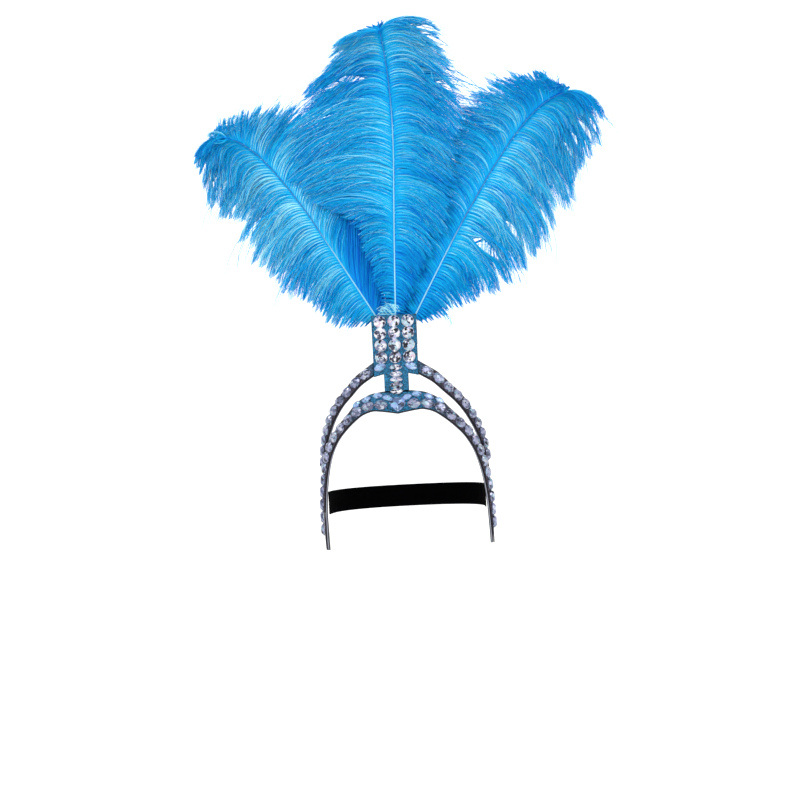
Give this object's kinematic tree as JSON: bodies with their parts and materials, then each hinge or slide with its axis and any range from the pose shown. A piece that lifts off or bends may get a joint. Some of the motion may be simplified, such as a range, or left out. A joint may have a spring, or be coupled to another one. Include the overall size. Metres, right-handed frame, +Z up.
{
  "type": "showgirl feather headdress",
  "caption": "Stage headdress: a stone-set padded tiara band with upper arches and a centre post, tall curling ostrich plumes behind the post and an elastic strap at the back.",
  "frame": {"origin": "middle of the head hollow, level with the middle of the elastic strap, where the head sits", "axes": "+Z up, the front with its stones and post faces -Y, +X is to the right as seen from the front"},
  "size_m": [0.423, 0.2325, 0.569],
  "materials": {
    "padded_edge": "silver-grey metallic cloth over a padded board",
    "glitter_facing": "blue glitter cloth",
    "stone": "faceted clear acrylic with a foil back and a rainbow coat",
    "quill": null,
    "plume": "dyed ostrich barbs",
    "elastic": "woven black elastic"
  },
  "bodies": {
    "root": {"front_band_core": "padded_edge", "front_band_facing": "glitter_facing", "upper_arch_core_left": "padded_edge", "upper_arch_facing_left": "glitter_facing", "upper_arch_core_right": "padded_edge", "upper_arch_facing_right": "glitter_facing", "band_stone_row_left": "stone", "arch_stone_row_left": "stone", "small_stone_left_1": "stone", "small_stone_left_2": "stone", "small_stone_left_3": "stone", "small_stone_left_4": "stone", "band_stone_row_right": "stone", "arch_stone_row_right": "stone", "small_stone_right_1": "stone", "small_stone_right_2": "stone", "small_stone_right_3": "stone", "small_stone_right_4": "stone", "pear_stone": "stone", "back_strap": "elastic", "post_core": "padded_edge", "post_facing": "glitter_facing", "round_stone_1_1": "stone", "round_stone_1_2": "stone", "round_stone_1_3": "stone", "round_stone_2_1": "stone", "round_stone_2_2": "stone", "round_stone_2_3": "stone", "round_stone_3_1": "stone", "round_stone_3_2": "stone", "round_stone_3_3": "stone", "round_stone_4_1": "stone", "round_stone_4_2": "stone", "round_stone_4_3": "stone", "neck_stone_1": "stone", "neck_stone_2": "stone", "neck_stone_3": "stone", "neck_stone_4": "stone", "neck_stone_5": "stone", "junction_stone_left": "stone", "junction_stone_right": "stone", "quill_pocket": "padded_edge", "quill_left": "quill", "plume_left": "plume", "quill_centre": "quill", "plume_centre": "plume", "quill_right": "quill", "plume_right": "plume"}
  },
  "joints": []
}
